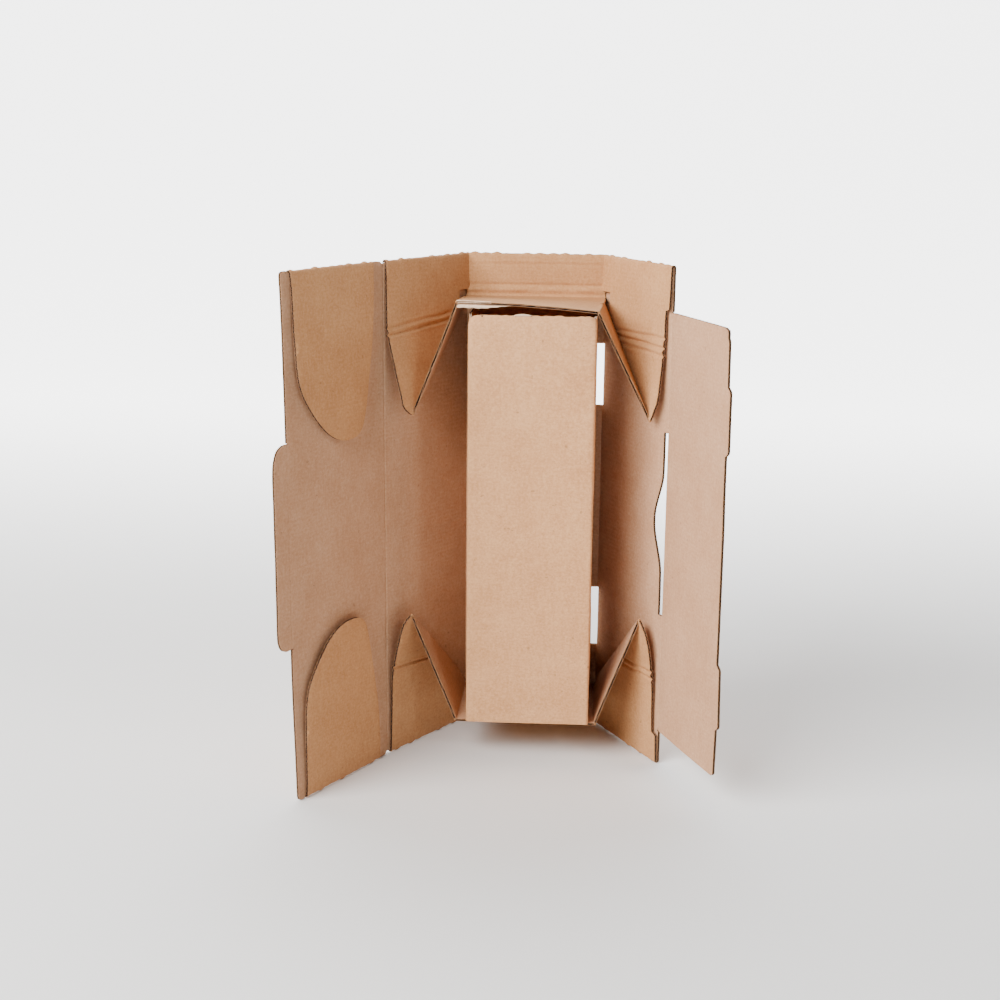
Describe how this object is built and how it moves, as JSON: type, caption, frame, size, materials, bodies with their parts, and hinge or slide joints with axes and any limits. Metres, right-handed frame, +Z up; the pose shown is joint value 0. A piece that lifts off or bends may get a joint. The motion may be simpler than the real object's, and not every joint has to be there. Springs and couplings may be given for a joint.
{
  "type": "bottle shipping box",
  "caption": "Die-cut corrugated shipping box for one bottle, standing open on end, with hinged lid, tuck tab, roll-over wall panel and a loose square inner sleeve.",
  "frame": {"origin": "middle of the footprint of the open box, on the surface it stands on", "axes": "+Z up along the length of the box, the box opens towards -Y, base panel at the back (+Y), lid to -X, roll-over panel to +X"},
  "size_m": [0.3234, 0.201, 0.4],
  "materials": {
    "kraft_board": "matt uncoated kraft",
    "sleeve_board": "matt uncoated light kraft"
  },
  "bodies": {
    "root": {"box_body": "kraft_board", "inner_sleeve": "sleeve_board"},
    "lid": {"lid": "kraft_board"},
    "tuck_tab": {"tuck_tab": "kraft_board"},
    "rollover_panel": {"rollover_panel": "kraft_board"}
  },
  "joints": [
    {"name": "lid_hinge", "type": "hinge", "parent": "root", "child": "lid", "pos_m": [-0.09787, 0.01247, 0.2], "axis": [0, 0, 1], "range_deg": [-30, 86]},
    {"name": "tuck_tab_hinge", "type": "hinge", "parent": "lid", "child": "tuck_tab", "pos_m": [-0.15366, -0.08695, 0.1985], "axis": [0, 0, 1], "range_deg": [-20, 90]},
    {"name": "rollover_hinge", "type": "hinge", "parent": "root", "child": "rollover_panel", "pos_m": [0.1233, 0.00935, 0.1965], "axis": [0, 0, 1], "range_deg": [-102, 30]}
  ]
}
